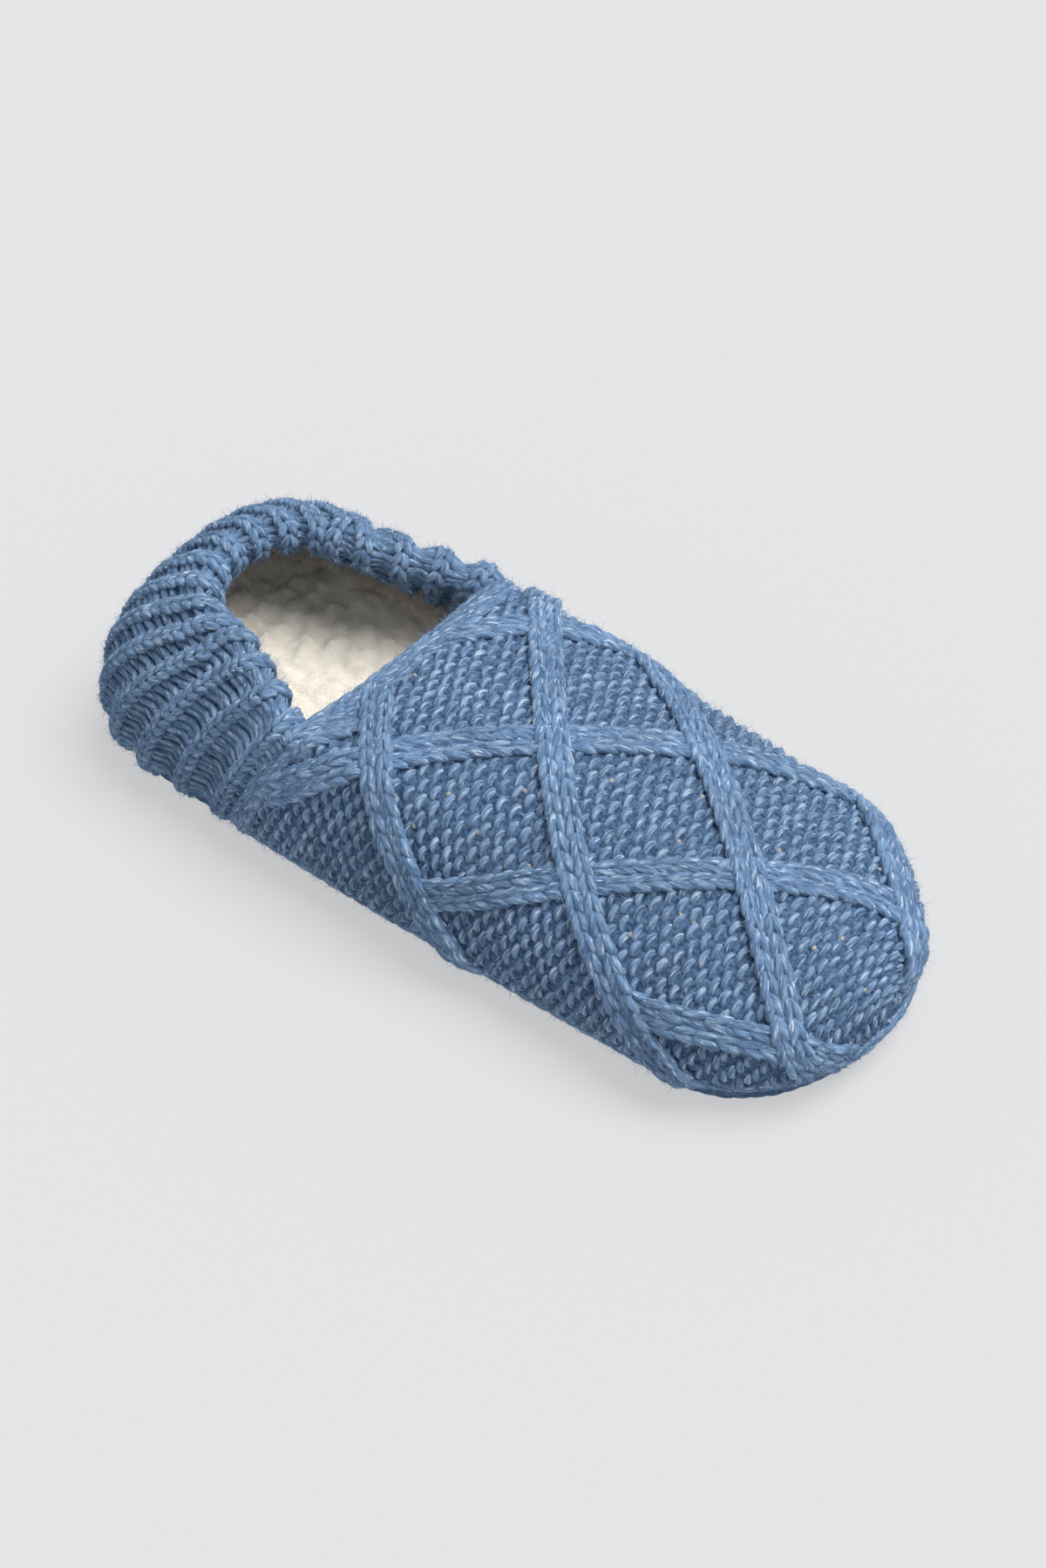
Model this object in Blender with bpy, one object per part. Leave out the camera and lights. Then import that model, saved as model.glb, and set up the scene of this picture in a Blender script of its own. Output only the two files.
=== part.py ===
"""A knitted slipper sock for the right foot: a lattice-knit upper, a ribbed heel cuff, a sole and a footbed.

+X runs to the toe, +Y to the wearer's left, +Z up. The origin is on the floor under the middle of the shoe.
"""
import math

import bpy
import bmesh
from mathutils import Vector

MM = 0.001

# Overall sizes of the last
LENGTH = 256 * MM
BALL_WIDTH = 100 * MM
INSTEP_HEIGHT = 52 * MM
WIDEST_HEIGHT = 17 * MM
COLLAR_HEIGHT = 59 * MM
TOE_SPRING = 2 * MM
SPRING_START = 0.80

# Thicknesses and fits
SOLE_THICKNESS = 6 * MM
FOOTBED_THICKNESS = 5 * MM
VAMP_WALL = 4 * MM
QUARTER_WALL = 2 * MM
CUFF_WALL = 4.5 * MM
GAP = 0.3 * MM
CUFF_CLEARANCE = 0.45 * MM

# Where the forms change along the shoe, as shares of its length from the heel
HEEL_CENTRE = 0.185
THROAT = 0.325
TOE_START = 0.83

# Roundness of the outlines: 2 is an ellipse, more is squarer
HEEL_ROUNDNESS = 3.0
TOE_ROUNDNESS = 2.0
TOE_DOME = 2.2

# The side wall: how far it tucks in at the sole, how far it has turned over at the shoulder, and the share
# of it that lies below the widest height
TUCK = 6 * MM
BELOW_WIDEST = 1 / 3
TUCK_TURN = math.radians(76)
SHOULDER_TURN = math.radians(66)
CROWN_FULLNESS = 2.4

# The seam between vamp and cuff leans back towards the heel as it runs down
SEAM_RAKE = 19 * MM
THROAT_BOW = 2.5 * MM

# The cuff: the rim's middle line lies this far in from the outline, and the fold turns down inside
RIM_INSET_THROAT = 8.5 * MM
RIM_INSET_SIDE = 23 * MM
RIM_INSET_BACK = 24 * MM
RIM_DROP_THROAT = 6.5 * MM
RIM_SWEEP = 1.2
RIM_FALL = 1.6
CUFF_FULLNESS = 2.7
HEEL_TURN_SHARE = 0.74
RIB_COUNT = 17
RIB_RISE = 0.9 * MM

# Raised bands of the lattice
BAND_WIDTH = 9 * MM
BAND_RISE = 2.4 * MM
BAND_SINK = 1.8 * MM
BAND_STEP = 10 * MM
BAND_REACH = 1.84
BAND_LAST = 0.975
BAND_END_RISE = 0.4

# How finely the forms are divided
SIDE_ROWS = 6
CROWN_ROWS = 8
VAMP_COLUMNS = 9
TOE_COLUMNS = 6
COLUMNS_PER_RIB = 4
FOLD_ROWS = 2
RIM_STEPS = 5
OUTLINE_STEPS = 10
REACH_STEPS = 24
TRACE_STEPS = 90
NORMAL_STEP = 0.004
MERGE_DISTANCE = 0.01 * MM
SHARP_ANGLE = math.radians(50)

# Half widths, the shoulder's inset and how far the sole lies inside the outline are shares of BALL_WIDTH,
# and heights are shares of INSTEP_HEIGHT
SECTION_COLUMNS = ("along", "lateral", "medial", "inset", "shoulder", "crown", "sole_lateral", "sole_medial")
SECTIONS = (
    (0.000, 0.495, 0.485, 0.095, 0.97, 0.98, 0.060, 0.040),
    (0.185, 0.495, 0.485, 0.095, 0.97, 0.98, 0.075, 0.030),
    (0.325, 0.507, 0.500, 0.095, 0.98, 0.98, 0.085, 0.005),
    (0.450, 0.512, 0.515, 0.110, 0.99, 1.14, 0.090, 0.000),
    (0.600, 0.510, 0.525, 0.140, 0.91, 1.11, 0.090, 0.020),
    (0.740, 0.507, 0.525, 0.145, 0.84, 1.03, 0.080, 0.040),
    (0.880, 0.500, 0.500, 0.150, 0.74, 0.90, 0.060, 0.045),
    (1.000, 0.495, 0.470, 0.150, 0.66, 0.80, 0.040, 0.040),
)

# Section of a band: across its width, and up as a share of its rise, or of its sinking where negative
BAND_PROFILE = ((-0.5, -1), (-0.5, 0), (-0.32, 0.75), (0, 1), (0.32, 0.75), (0.5, 0), (0.5, -1))

# Edge of the sole: how far in from its outline and how high, as shares of SOLE_THICKNESS
EDGE_COLUMNS = ("inset", "height")
SOLE_EDGE = (
    (0.42, 0.00),
    (0.10, 0.14),
    (0.00, 0.30),
    (0.12, 0.48),
    (0.22, 0.54),
    (0.14, 0.66),
    (0.22, 0.84),
    (0.50, 1.00),
)

# Edge of the footbed, by the same columns, as shares of FOOTBED_THICKNESS
FOOTBED_EDGE = (
    (0.10, 0.00),
    (0.00, 0.25),
    (0.00, 0.70),
    (0.45, 1.00),
    (2.40, 0.86),
    (5.20, 0.82),
)

# Bands of the lattice, one row each. crossing is where a band meets the middle line of the vamp, as a share
# of the shoe's length from its middle. slope is how far it runs across the surface for each length along, and
# bend how much that changes over the shoe's length. first and last limit it, as shares of the shoe's length.
BAND_COLUMNS = ("crossing", "slope", "bend", "first", "last")
BANDS = (
    (-0.172, -1.60, 1.54, 0.25, 1.00),
    (0.051, -1.12, 0.90, 0.25, 1.00),
    (0.301, -0.80, -0.26, 0.25, 1.00),
    (0.555, -0.90, 0.00, 0.25, 1.00),
    (-0.050, 1.50, 0.00, 0.25, 0.39),
    (-0.164, 1.05, -0.51, 0.25, 1.00),
    (0.098, 0.85, 0.00, 0.25, 1.00),
    (0.363, 0.85, 0.26, 0.25, 1.00),
    (0.586, 1.30, 1.89, 0.78, 1.00),
)

MATERIAL_COLUMNS = ("name", "colour", "roughness")
MATERIALS = (
    ("lattice_knit", (0.105, 0.205, 0.370), 0.90),
    ("rib_knit", (0.095, 0.190, 0.350), 0.90),
    ("sole_knit", (0.080, 0.165, 0.310), 0.92),
    ("fleece", (0.780, 0.730, 0.660), 0.95),
)


def clamp(value, low, high):
    return min(max(value, low), high)


def section_value(along, name):
    """One column of SECTIONS, read as a smooth curve along the shoe."""
    column = SECTION_COLUMNS.index(name)
    places = [row[0] for row in SECTIONS]
    values = [row[column] for row in SECTIONS]
    last = len(places) - 1
    along = clamp(along, places[0], places[-1])
    index = max(k for k in range(last) if places[k] <= along)

    def slope(k):
        before, after = max(k - 1, 0), min(k + 1, last)
        return (values[after] - values[before]) / (places[after] - places[before])

    step = places[index + 1] - places[index]
    s = (along - places[index]) / step
    start = (2 * s ** 3 - 3 * s ** 2 + 1) * values[index] + (s ** 3 - 2 * s ** 2 + s) * step * slope(index)
    end = (3 * s ** 2 - 2 * s ** 3) * values[index + 1] + (s ** 3 - s ** 2) * step * slope(index + 1)
    return start + end


def toe_closing(along, roundness):
    """1 along the body of the shoe, falling to 0 at the tip of the toe."""
    share = clamp((along - TOE_START) / (1 - TOE_START), 0, 1)
    return max(1 - share ** roundness, 0) ** (1 / roundness)


def along_to_x(along, depth=0.0):
    """X of a place along the shoe, on a surface that lies depth inside the outer one."""
    if along <= TOE_START:
        return (along - 0.5) * LENGTH
    toe = (1 - TOE_START) * LENGTH - depth
    return (TOE_START - 0.5) * LENGTH + (along - TOE_START) / (1 - TOE_START) * toe


def toe_lift(x):
    """Height that the toe spring adds at x."""
    share = (x / LENGTH + 0.5 - SPRING_START) / (1 - SPRING_START)
    return TOE_SPRING * clamp(share, 0, 1) ** 2


def edge_height():
    return SOLE_THICKNESS + GAP


def side_point(share, half, inset, top):
    """(half width, height) of the side wall: share -1 at the sole, 0 at the widest, 1 at the shoulder."""
    if share < 0:
        turn = -share * TUCK_TURN
        tuck = TUCK * (1 - math.cos(turn)) / (1 - math.cos(TUCK_TURN))
        drop = (WIDEST_HEIGHT - edge_height()) * math.sin(turn) / math.sin(TUCK_TURN)
        return half - tuck, WIDEST_HEIGHT - drop
    turn = share * SHOULDER_TURN
    lean = inset * (1 - math.cos(turn)) / (1 - math.cos(SHOULDER_TURN))
    return half - lean, WIDEST_HEIGHT + (top - WIDEST_HEIGHT) * math.sin(turn) / math.sin(SHOULDER_TURN)


def wall_share(up):
    """up 0 at the sole to 1 at the shoulder becomes -1 to 1, with 0 at the widest height."""
    if up < BELOW_WIDEST:
        return up / BELOW_WIDEST - 1
    return (up - BELOW_WIDEST) / (1 - BELOW_WIDEST)


def vamp_point(along, across, depth=0.0):
    """Point of the vamp: across runs -2 lateral edge, -1 shoulder, 0 crown, 1 shoulder, 2 medial edge."""
    side = -1 if across < 0 else 1
    half = section_value(along, "lateral" if side < 0 else "medial") * BALL_WIDTH - depth
    inset = section_value(along, "inset") * BALL_WIDTH
    shoulder = section_value(along, "shoulder") * INSTEP_HEIGHT - depth
    crown = section_value(along, "crown") * INSTEP_HEIGHT - depth
    if abs(across) >= 1:
        y, z = side_point(wall_share(2 - abs(across)), half, inset, shoulder)
    else:
        y = (half - inset) * abs(across)
        z = shoulder + (crown - shoulder) * (1 - abs(across) ** CROWN_FULLNESS)
    if z > WIDEST_HEIGHT:
        z = WIDEST_HEIGHT + (z - WIDEST_HEIGHT) * toe_closing(along, TOE_DOME)
    x = along_to_x(along, depth)
    return Vector((x, side * y * toe_closing(along, TOE_ROUNDNESS), z + toe_lift(x)))


def vamp_normal(along, across):
    """Outward direction of the vamp's surface."""
    ahead = vamp_point(min(along + NORMAL_STEP, 1), across) - vamp_point(along - NORMAL_STEP, across)
    over = vamp_point(along, across + NORMAL_STEP) - vamp_point(along, across - NORMAL_STEP)
    return ahead.cross(over).normalized()


def seam_x(z):
    """X of the seam between vamp and cuff at a height."""
    corner = section_value(THROAT, "shoulder") * INSTEP_HEIGHT
    share = clamp((corner - z) / (corner - edge_height()), 0, 1)
    return along_to_x(THROAT) - SEAM_RAKE * share


def vamp_start(across, depth):
    """Where along the shoe the vamp begins: at the throat's bowed edge, and at the seam on the sides."""
    if abs(across) < 1:
        return THROAT + THROAT_BOW / LENGTH * (1 - across ** 2)
    return seam_x(vamp_point(THROAT, across, depth).z) / LENGTH + 0.5


def heel_radius(angle, half, back):
    """Radius of the heel's outline about its centre, at an angle from the back."""
    side_part = (abs(math.sin(angle)) / half) ** HEEL_ROUNDNESS
    back_part = (abs(math.cos(angle)) / back) ** HEEL_ROUNDNESS
    return (side_part + back_part) ** (-1 / HEEL_ROUNDNESS)


def cuff_stack():
    """From the middle of the quarter wall to the cuff's outer face."""
    return QUARTER_WALL / 2 + CUFF_CLEARANCE + CUFF_WALL


class Station:
    """One upright slice of the heel part. place runs from -1, the lateral seam, by 0, the back, to 1."""

    def __init__(self, place):
        self.side = -1 if place < 0 else 1
        half = section_value(HEEL_CENTRE, "lateral" if place < 0 else "medial") * BALL_WIDTH
        back = HEEL_CENTRE * LENGTH
        self.forward = clamp((abs(place) - HEEL_TURN_SHARE) / (1 - HEEL_TURN_SHARE), 0, 1)
        self.angle = min(abs(place) / HEEL_TURN_SHARE, 1) * math.pi / 2
        if self.forward > 0:
            along = HEEL_CENTRE + (THROAT - HEEL_CENTRE) * self.forward
            half = section_value(along, "lateral" if place < 0 else "medial") * BALL_WIDTH
            self.radius = half
            self.rim = half - RIM_INSET_SIDE - (RIM_INSET_THROAT - RIM_INSET_SIDE) * self.forward ** RIM_SWEEP
        else:
            self.radius = heel_radius(self.angle, half, back)
            side_rim, back_rim = half - RIM_INSET_SIDE, back - RIM_INSET_BACK
            self.rim = 1 / math.hypot(math.sin(self.angle) / side_rim, math.cos(self.angle) / back_rim)
        top = COLLAR_HEIGHT - cuff_stack()
        self.top = top - RIM_DROP_THROAT * self.forward ** RIM_FALL

    def place_point(self, radius, z, row_z, clear=0.0):
        """World point at a radius and height, in the row that crosses the wall's middle line at row_z.

        clear holds the front end back from the seam."""
        centre = along_to_x(HEEL_CENTRE)
        x = centre - radius * math.cos(self.angle) + (seam_x(row_z) - clear - centre) * self.forward
        return Vector((x, self.side * radius * math.sin(self.angle), z))

    def wall_line(self):
        """Middle line of the quarter wall as (radius, height, lean), from the sole to the rim."""
        base = self.radius - cuff_stack()
        lean_in = base - self.rim
        rise = self.top - WIDEST_HEIGHT
        line = []
        for row in range(SIDE_ROWS + 1):
            share = wall_share(row / SIDE_ROWS)
            radius, z, lean = *side_point(min(share, 0), base, 0, self.top), 0
            if share > 0:
                radius = base - lean_in * share ** CUFF_FULLNESS
                z = WIDEST_HEIGHT + rise * share
                lean = math.atan2(lean_in * CUFF_FULLNESS * share ** (CUFF_FULLNESS - 1), rise)
            line.append((radius, z, lean))
        return line

    def offset(self, node, distance, own_height=False):
        """(radius, height, height that sets how far forward the seam lies) beside a node of the wall line."""
        radius, z, lean = node
        height = z + distance * math.sin(lean)
        return radius + distance * math.cos(lean), height, height if own_height else z

    def wall_points(self, distance):
        return [self.place_point(*self.offset(node, distance)) for node in self.wall_line()]

    def cuff_profile(self, rib):
        """The folded cuff in this slice, as two open lines from the outer foot over the rim to the inner hem."""
        line = self.wall_line()
        near = QUARTER_WALL / 2 + CUFF_CLEARANCE
        far = near + CUFF_WALL + rib
        folded = list(reversed(line[-1 - FOLD_ROWS:]))
        skins = []
        for size in (far, near):
            skin = [self.offset(node, size, size == far) for node in line]
            skin += self.rim_arc(line[-1], size, RIM_STEPS)
            skin += [self.offset(node, -size, size == far) for node in folded]
            skins.append([self.place_point(*point, GAP) for point in skin])
        return skins

    def rim_arc(self, node, size, count):
        """Half a turn over the top of the wall, from outside to inside."""
        radius, z, lean = node
        points = []
        for step in range(1, count + 1):
            turn = math.pi * step / (count + 1)
            ahead, out = math.sin(turn) * size, math.cos(turn) * size
            points.append((radius + out * math.cos(lean) - ahead * math.sin(lean),
                           z + out * math.sin(lean) + ahead * math.cos(lean), z))
        return points


def add_faces(mesh, rows, split=False):
    """Quads between neighbouring rows of vertices, each split along the same way if asked."""
    for first, second in zip(rows, rows[1:]):
        for k in range(len(first) - 1):
            corners = (first[k], first[k + 1], second[k + 1], second[k])
            if split:
                mesh.faces.new(corners[:3])
                mesh.faces.new((corners[0], corners[2], corners[3]))
            else:
                mesh.faces.new(corners)


def finish_mesh(mesh, name, material, collection):
    """Make an object of a bmesh, with its doubled points merged and its faces turned outward."""
    bmesh.ops.remove_doubles(mesh, verts=mesh.verts, dist=MERGE_DISTANCE)
    bmesh.ops.dissolve_degenerate(mesh, edges=mesh.edges, dist=MERGE_DISTANCE)
    bmesh.ops.recalc_face_normals(mesh, faces=mesh.faces)
    if mesh.calc_volume(signed=True) < 0:
        bmesh.ops.reverse_faces(mesh, faces=mesh.faces)
    data = bpy.data.meshes.new(name)
    mesh.to_mesh(data)
    mesh.free()
    data.materials.append(material)
    data.shade_smooth()
    data.set_sharp_from_angle(angle=SHARP_ANGLE)
    piece = bpy.data.objects.new(name, data)
    collection.objects.link(piece)
    return piece


def make_material(row):
    name, colour, roughness = row
    material = bpy.data.materials.new(name)
    material.use_nodes = True
    shader = material.node_tree.nodes["Principled BSDF"]
    shader.inputs["Base Color"].default_value = (*colour, 1)
    shader.inputs["Roughness"].default_value = roughness
    shader.inputs["Metallic"].default_value = 0.0
    return material


def across_rows():
    """Places across the vamp, from the lateral edge to the medial edge."""
    side = [-2 + row / SIDE_ROWS for row in range(SIDE_ROWS + 1)]
    crown = [-1 + 2 * k / CROWN_ROWS for k in range(1, CROWN_ROWS)]
    return side + crown + [-value for value in reversed(side)]


def vamp_places(across, depth):
    """Places along the shoe for one row of the vamp, closer together round the toe."""
    start = vamp_start(across, depth)
    body = [start + (TOE_START - start) * k / VAMP_COLUMNS for k in range(VAMP_COLUMNS)]
    toe = [TOE_START + (1 - TOE_START) * math.sin(math.pi / 2 * k / TOE_COLUMNS) for k in range(TOE_COLUMNS + 1)]
    return body + toe


def build_quarter(mesh):
    """Outer and inner skin of the thin wall behind the vamp, as columns from the lateral to the medial seam."""
    count = RIB_COUNT * COLUMNS_PER_RIB
    skins = []
    for distance in (QUARTER_WALL / 2, -QUARTER_WALL / 2):
        columns = []
        for k in range(count + 1):
            points = Station(-1 + 2 * k / count).wall_points(distance)
            columns.append([mesh.verts.new(point) for point in points])
        add_faces(mesh, columns, split=True)
        skins.append(columns)
    outside, inside = skins
    for row in (0, SIDE_ROWS):
        add_faces(mesh, [[column[row] for column in outside], [column[row] for column in inside]])
    return outside, inside


def build_upper(material, collection):
    """The vamp and the quarter wall behind it: one hollow wall, open at throat, collar and sole."""
    mesh = bmesh.new()
    outside, inside = build_quarter(mesh)
    rows = across_rows()
    last = len(rows) - 1
    vamp = []
    for depth in (0, VAMP_WALL):
        lines = []
        for j, across in enumerate(rows):
            points = [vamp_point(along, across, depth) for along in vamp_places(across, depth)]
            line = [mesh.verts.new(point) for point in points[1:]]
            if depth and j <= SIDE_ROWS:
                line.insert(0, inside[0][j])
            elif depth and j >= last - SIDE_ROWS:
                line.insert(0, inside[-1][last - j])
            else:
                line.insert(0, mesh.verts.new(points[0]))
            lines.append(line)
        vamp.append(list(zip(*lines)))
        add_faces(mesh, vamp[-1])
    outer, inner = vamp
    for j in (0, last):
        add_faces(mesh, [[column[j] for column in outer], [column[j] for column in inner]])
    crown = slice(SIDE_ROWS, last - SIDE_ROWS + 1)
    add_faces(mesh, [outer[0][crown], inner[0][crown]])
    lateral = slice(0, SIDE_ROWS + 1)
    medial = slice(last, last - SIDE_ROWS - 1, -1)
    for side, end in ((lateral, 0), (medial, -1)):
        step = outer[0][side]
        add_faces(mesh, [step, outside[end]])
        for row in (0, -1):
            mesh.faces.new((step[row], outside[end][row], inside[end][row]))
    return finish_mesh(mesh, "upper", material, collection)


def rib_height(k):
    """Height of the cuff's outer face over its mean at one of the columns of the ribs, low at both ends."""
    return -RIB_RISE * math.cos(2 * math.pi * k / COLUMNS_PER_RIB)


def build_cuff(material, collection):
    """The ribbed heel cuff: folded over the rim of the quarter wall, open at the sole and at the front."""
    mesh = bmesh.new()
    count = RIB_COUNT * COLUMNS_PER_RIB
    outer, inner = [], []
    for k in range(count + 1):
        far, near = Station(-1 + 2 * k / count).cuff_profile(rib_height(k))
        outer.append([mesh.verts.new(point) for point in far])
        inner.append([mesh.verts.new(point) for point in near])
    add_faces(mesh, outer)
    add_faces(mesh, inner, split=True)
    for end in (0, -1):
        add_faces(mesh, [[line[end] for line in outer], [line[end] for line in inner]])
        add_faces(mesh, [outer[end], inner[end]])
    return finish_mesh(mesh, "heel_cuff", material, collection)


def outline(inset, sole=False):
    """Flat outline from the back by the lateral side to the toe, and by the medial side back.

    It lies inset inside the upper's widest outline, or inside the sole's own outline."""
    sides = []
    for name, side in (("lateral", -1), ("medial", 1)):

        def depth(along):
            return inset + (section_value(along, "sole_" + name) * BALL_WIDTH if sole else 0)

        points = []
        half = section_value(HEEL_CENTRE, name) * BALL_WIDTH - depth(HEEL_CENTRE)
        back = HEEL_CENTRE * LENGTH - depth(0)
        for k in range(OUTLINE_STEPS):
            angle = math.pi / 2 * k / OUTLINE_STEPS
            radius = heel_radius(angle, half, back)
            x = along_to_x(HEEL_CENTRE) - radius * math.cos(angle)
            points.append((x, side * radius * math.sin(angle)))
        for k in range(OUTLINE_STEPS):
            along = HEEL_CENTRE + (TOE_START - HEEL_CENTRE) * k / OUTLINE_STEPS
            half = section_value(along, name) * BALL_WIDTH - depth(along)
            points.append((along_to_x(along), side * half))
        for k in range(OUTLINE_STEPS + 1):
            along = TOE_START + (1 - TOE_START) * math.sin(math.pi / 2 * k / OUTLINE_STEPS)
            half = (section_value(along, name) * BALL_WIDTH - depth(along)) * toe_closing(along, TOE_ROUNDNESS)
            points.append((along_to_x(along, depth(1)), side * half))
        sides.append(points)
    lateral, medial = sides
    lateral[0] = medial[0] = ((lateral[0][0] + medial[0][0]) / 2, 0)
    return lateral + medial[-2:0:-1]


def ring_at(points, z):
    return [Vector((x, y, z + toe_lift(x))) for x, y in points]


def cap_ring(mesh, ring):
    """Close a ring from side to side, a strip between each lateral point and its medial partner."""
    count = len(ring)
    for k in range(count // 2):
        corners = [ring[k], ring[k + 1], ring[(count - k - 1) % count], ring[(count - k) % count]]
        unique = []
        for corner in corners:
            if corner not in unique:
                unique.append(corner)
        if len(unique) > 2:
            mesh.faces.new(unique)


def solid_of_rings(rings, name, material, collection):
    mesh = bmesh.new()
    loops = [[mesh.verts.new(point) for point in ring] for ring in rings]
    add_faces(mesh, [loop + loop[:1] for loop in loops])
    cap_ring(mesh, loops[0])
    cap_ring(mesh, loops[-1])
    return finish_mesh(mesh, name, material, collection)


def build_outsole(material, collection):
    """The knitted sole, flat below, with two ridges round its edge."""
    rings = []
    for inset, height in SOLE_EDGE:
        rings.append(ring_at(outline(inset * SOLE_THICKNESS, sole=True), height * SOLE_THICKNESS))
    return solid_of_rings(rings, "outsole", material, collection)


def build_footbed(material, collection):
    """The fleece footbed inside the walls, a little dished."""
    wall = cuff_stack() + QUARTER_WALL / 2 + TUCK + GAP
    rise = FOOTBED_THICKNESS
    floor = SOLE_THICKNESS + GAP
    rings = [ring_at(outline(wall + inset * rise), floor + height * rise) for inset, height in FOOTBED_EDGE]
    return solid_of_rings(rings, "insole", material, collection)


def across_at(along, reach):
    """How far across the vamp a point lies when the way to it from the crown, on the surface, is reach long."""
    side = math.copysign(1, reach)
    travelled, before = 0.0, vamp_point(along, 0)
    for k in range(1, REACH_STEPS + 1):
        across = 2 * k / REACH_STEPS
        point = vamp_point(along, side * across)
        step = (point - before).length
        if travelled + step >= abs(reach):
            return side * (across - 2 / REACH_STEPS * (travelled + step - abs(reach)) / step)
        travelled, before = travelled + step, point
    return side * 2.0


def trace_band(row):
    """Places (along, across) of a band's middle line, evenly spaced, where it lies well on the vamp."""
    band = dict(zip(BAND_COLUMNS, row))
    run = []
    for k in range(TRACE_STEPS + 1):
        along = band["first"] + (min(band["last"], BAND_LAST) - band["first"]) * k / TRACE_STEPS
        ahead = along - 0.5 - band["crossing"]
        across = across_at(along, (band["slope"] * ahead + band["bend"] * ahead ** 2) * LENGTH)
        inside = abs(across) < BAND_REACH and along > vamp_start(across, 0) + BAND_WIDTH / 2 / LENGTH
        if inside:
            run.append((along, across))
        elif run:
            break
    points = [vamp_point(*place) for place in run]
    travelled = [0.0]
    for first, second in zip(points, points[1:]):
        travelled.append(travelled[-1] + (second - first).length)
    count = max(4, round(travelled[-1] / BAND_STEP))
    places = []
    for k in range(count + 1):
        goal = travelled[-1] * k / count
        index = max(n for n in range(len(run)) if travelled[n] <= goal)
        after = min(index + 1, len(run) - 1)
        share = 0 if after == index else (goal - travelled[index]) / (travelled[after] - travelled[index])
        places.append(tuple(a + (b - a) * share for a, b in zip(run[index], run[after])))
    return places


def build_band(row, material, cutters):
    """One raised band of the lattice, as a strip that is sunk into the vamp's wall."""
    mesh = bmesh.new()
    slices = trace_band(row)
    centres = [vamp_point(*place) for place in slices]
    rings = []
    for k, place in enumerate(slices):
        normal = vamp_normal(*place)
        ahead = centres[min(k + 1, len(slices) - 1)] - centres[max(k - 1, 0)]
        side = normal.cross(ahead).normalized()
        full = BAND_END_RISE if k in (0, len(slices) - 1) else 1.0
        ring = []
        for over, up in BAND_PROFILE:
            height = BAND_SINK * up if up < 0 else BAND_RISE * up * full
            ring.append(mesh.verts.new(centres[k] + side * over * BAND_WIDTH + normal * height))
        rings.append(ring)
    add_faces(mesh, [ring + ring[:1] for ring in rings])
    mesh.faces.new(rings[0])
    mesh.faces.new(rings[-1])
    strip = finish_mesh(mesh, "band", material, cutters)
    strip.hide_render = True
    strip.display_type = "WIRE"
    return strip


def join_bands(upper, material, cutters):
    """Fuse the bands to the upper. The exact solver fails where they cross, at crumbs too small for a solid."""
    for row in BANDS:
        union = upper.modifiers.new("band", "BOOLEAN")
        union.operation = "UNION"
        union.solver = "MANIFOLD"
        union.object = build_band(row, material, cutters)


def main():
    for item in list(bpy.data.objects):
        bpy.data.objects.remove(item, do_unlink=True)
    parts = bpy.data.collections.new("slipper_sock")
    cutters = bpy.data.collections.new("cutters")
    for collection in (parts, cutters):
        bpy.context.scene.collection.children.link(collection)
    lattice_knit, rib_knit, sole_knit, fleece = (make_material(row) for row in MATERIALS)
    upper = build_upper(lattice_knit, parts)
    join_bands(upper, lattice_knit, cutters)
    build_cuff(rib_knit, parts)
    build_outsole(sole_knit, parts)
    build_footbed(fleece, parts)


main()
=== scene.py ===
"""The look of a knitted slipper sock for the right foot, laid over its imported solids.

Sizes are in millimetres until a mesh is made. +X runs to the toe, +Y to the wearer's left, +Z up.
"""
import math

import bpy
import numpy as np
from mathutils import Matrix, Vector, noise


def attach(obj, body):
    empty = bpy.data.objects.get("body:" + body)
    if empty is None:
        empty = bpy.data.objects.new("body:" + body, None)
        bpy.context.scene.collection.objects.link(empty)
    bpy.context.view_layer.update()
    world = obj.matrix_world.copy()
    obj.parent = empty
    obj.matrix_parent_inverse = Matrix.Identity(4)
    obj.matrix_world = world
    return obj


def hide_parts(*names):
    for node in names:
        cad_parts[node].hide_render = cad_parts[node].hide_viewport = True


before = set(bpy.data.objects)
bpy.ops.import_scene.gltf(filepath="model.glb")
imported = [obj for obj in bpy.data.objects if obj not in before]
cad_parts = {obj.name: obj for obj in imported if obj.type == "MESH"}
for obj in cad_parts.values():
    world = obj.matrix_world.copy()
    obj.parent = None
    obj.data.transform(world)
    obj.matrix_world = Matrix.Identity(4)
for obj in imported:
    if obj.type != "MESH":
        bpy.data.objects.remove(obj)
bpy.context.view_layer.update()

MM = 0.001

# Sizes of the last, as in the part's source
LENGTH = 256.0
BALL_WIDTH = 100.0
INSTEP_HEIGHT = 52.0
WIDEST_HEIGHT = 17.0
COLLAR_HEIGHT = 59.0
TOE_SPRING = 2.0
SPRING_START = 0.80
SOLE_THICKNESS = 6.0
QUARTER_WALL = 2.0
CUFF_WALL = 4.5
GAP = 0.3
CUFF_CLEARANCE = 0.45
EDGE_HEIGHT = SOLE_THICKNESS + GAP
CUFF_STACK = QUARTER_WALL / 2 + CUFF_CLEARANCE + CUFF_WALL
HEEL_CENTRE = 0.185
THROAT = 0.325
TOE_START = 0.83
HEEL_ROUNDNESS = 3.0
TOE_ROUNDNESS = 2.0
TOE_DOME = 2.2
TUCK = 6.0
TUCK_TURN = math.radians(76)
SHOULDER_TURN = math.radians(66)
BELOW_WIDEST = 1 / 3
CROWN_FULLNESS = 2.4
SEAM_RAKE = 19.0
THROAT_BOW = 2.5
RIM_INSET_THROAT = 8.5
RIM_INSET_SIDE = 23.0
RIM_INSET_BACK = 24.0
RIM_DROP_THROAT = 6.5
RIM_SWEEP = 1.2
RIM_FALL = 1.6
CUFF_FULLNESS = 2.7
HEEL_TURN_SHARE = 0.74
RIB_COUNT = 17

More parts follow.
